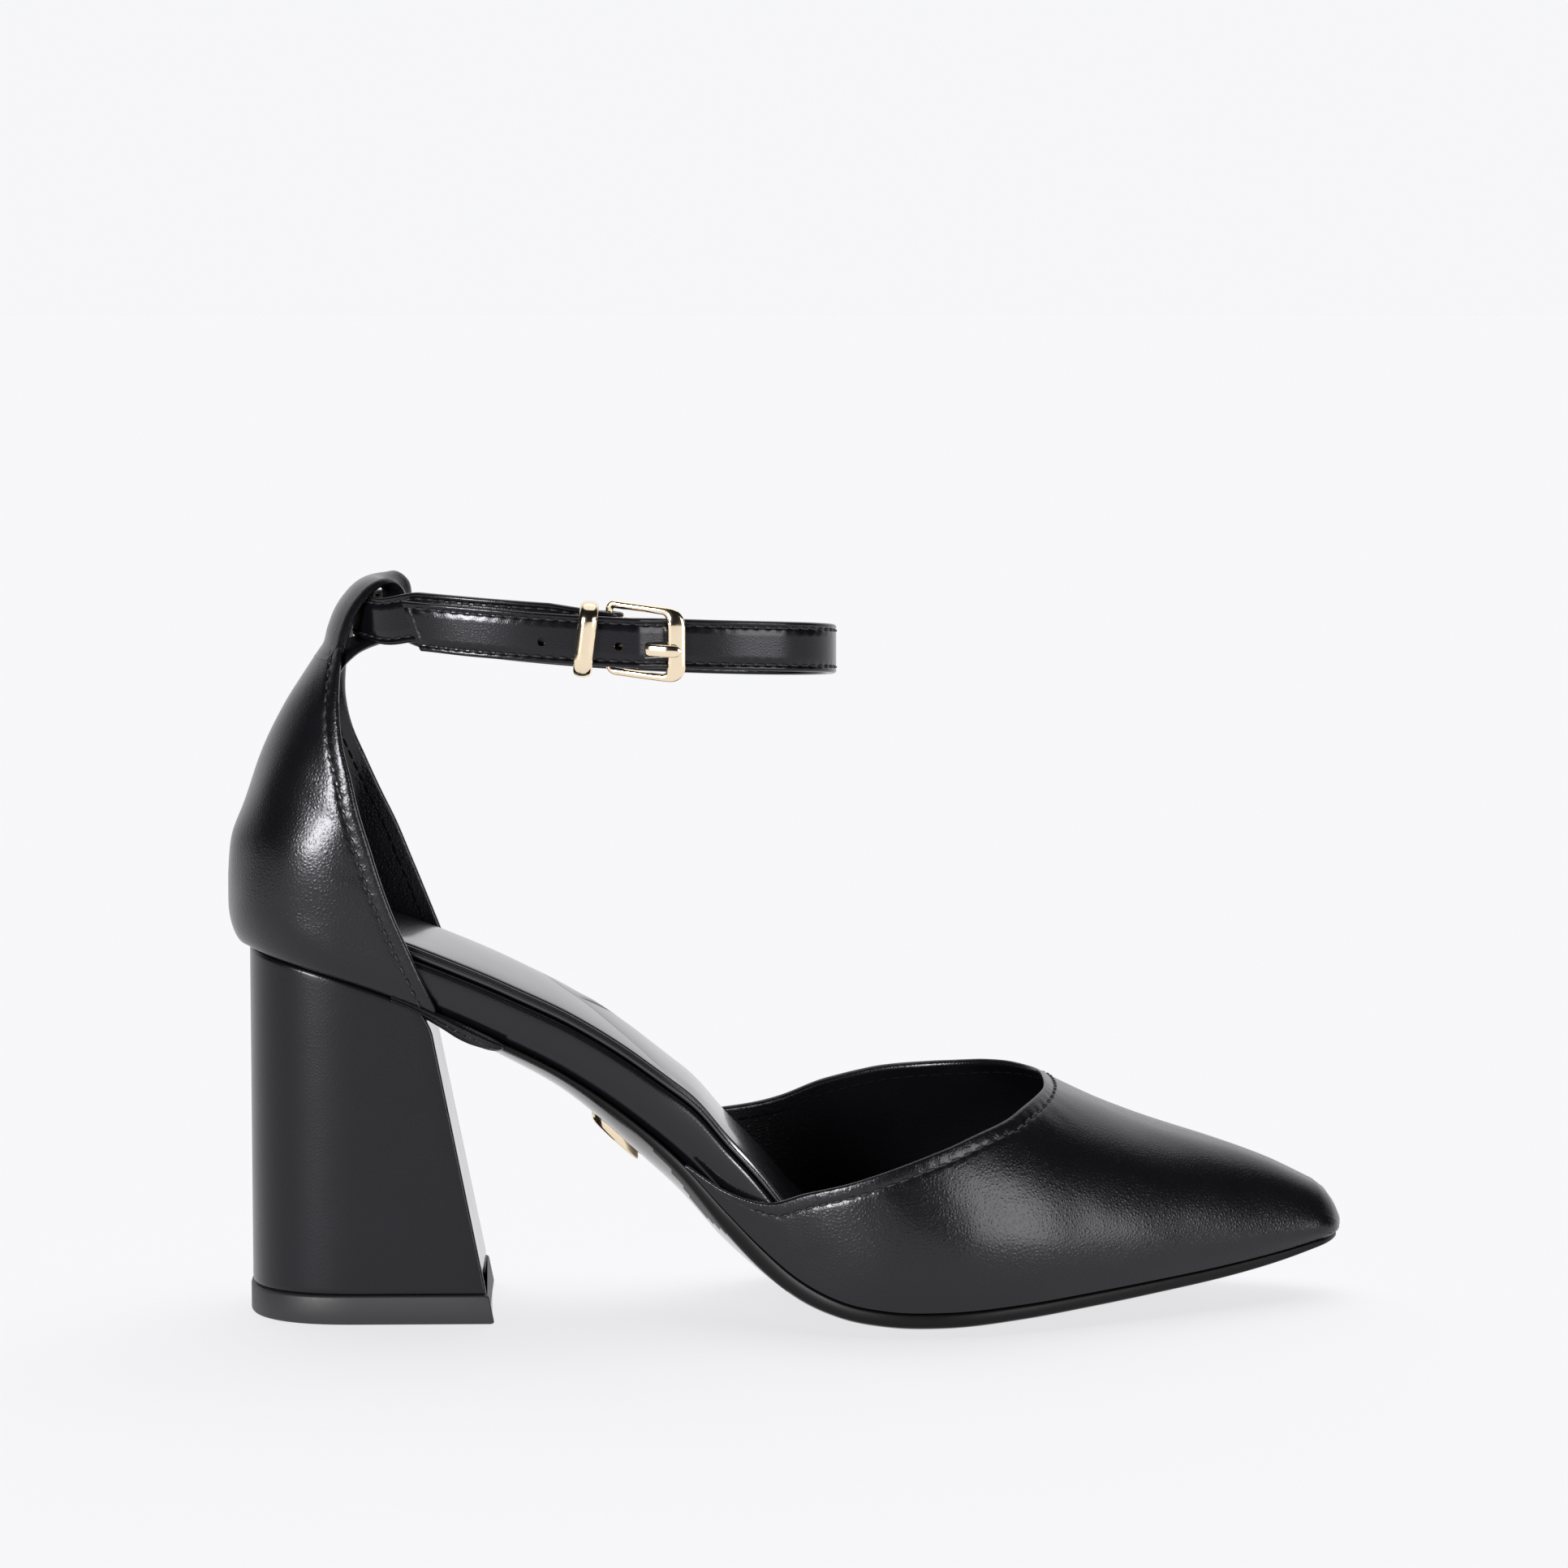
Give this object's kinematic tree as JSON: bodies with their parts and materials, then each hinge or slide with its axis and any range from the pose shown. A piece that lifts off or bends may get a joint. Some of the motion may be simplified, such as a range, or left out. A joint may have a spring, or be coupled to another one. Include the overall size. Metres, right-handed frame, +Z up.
{
  "type": "block heel court shoe with ankle strap",
  "caption": "Pointed open-waist court shoe with a block heel, a hollow vamp, a tall heel quarter and a buckled ankle strap run through a loop.",
  "frame": {"origin": "middle of the heel's face on the floor", "axes": "+X to the toe, +Y to the inner side of the foot, +Z up; right shoe"},
  "size_m": [0.2489, 0.0834, 0.163],
  "materials": {
    "black_leather": "smooth, soft gloss, fine grain",
    "heel_leather": "smooth, soft gloss, stretched over the heel",
    "lining_leather": "smooth satin",
    "sole_leather": "black, polished",
    "lift_rubber": "matt",
    "pale_gold": "polished, plated"
  },
  "bodies": {
    "root": {"outsole": "sole_leather", "insole_board": "black_leather", "sock_lining": "lining_leather", "vamp": "black_leather", "quarter": "black_leather", "strap_loop": "black_leather", "heel_block": "heel_leather", "top_lift": "lift_rubber", "ankle_strap": "black_leather", "buckle_frame": "pale_gold", "buckle_prong": "pale_gold", "strap_keeper": "pale_gold", "waist_plate": "pale_gold"}
  },
  "joints": []
}
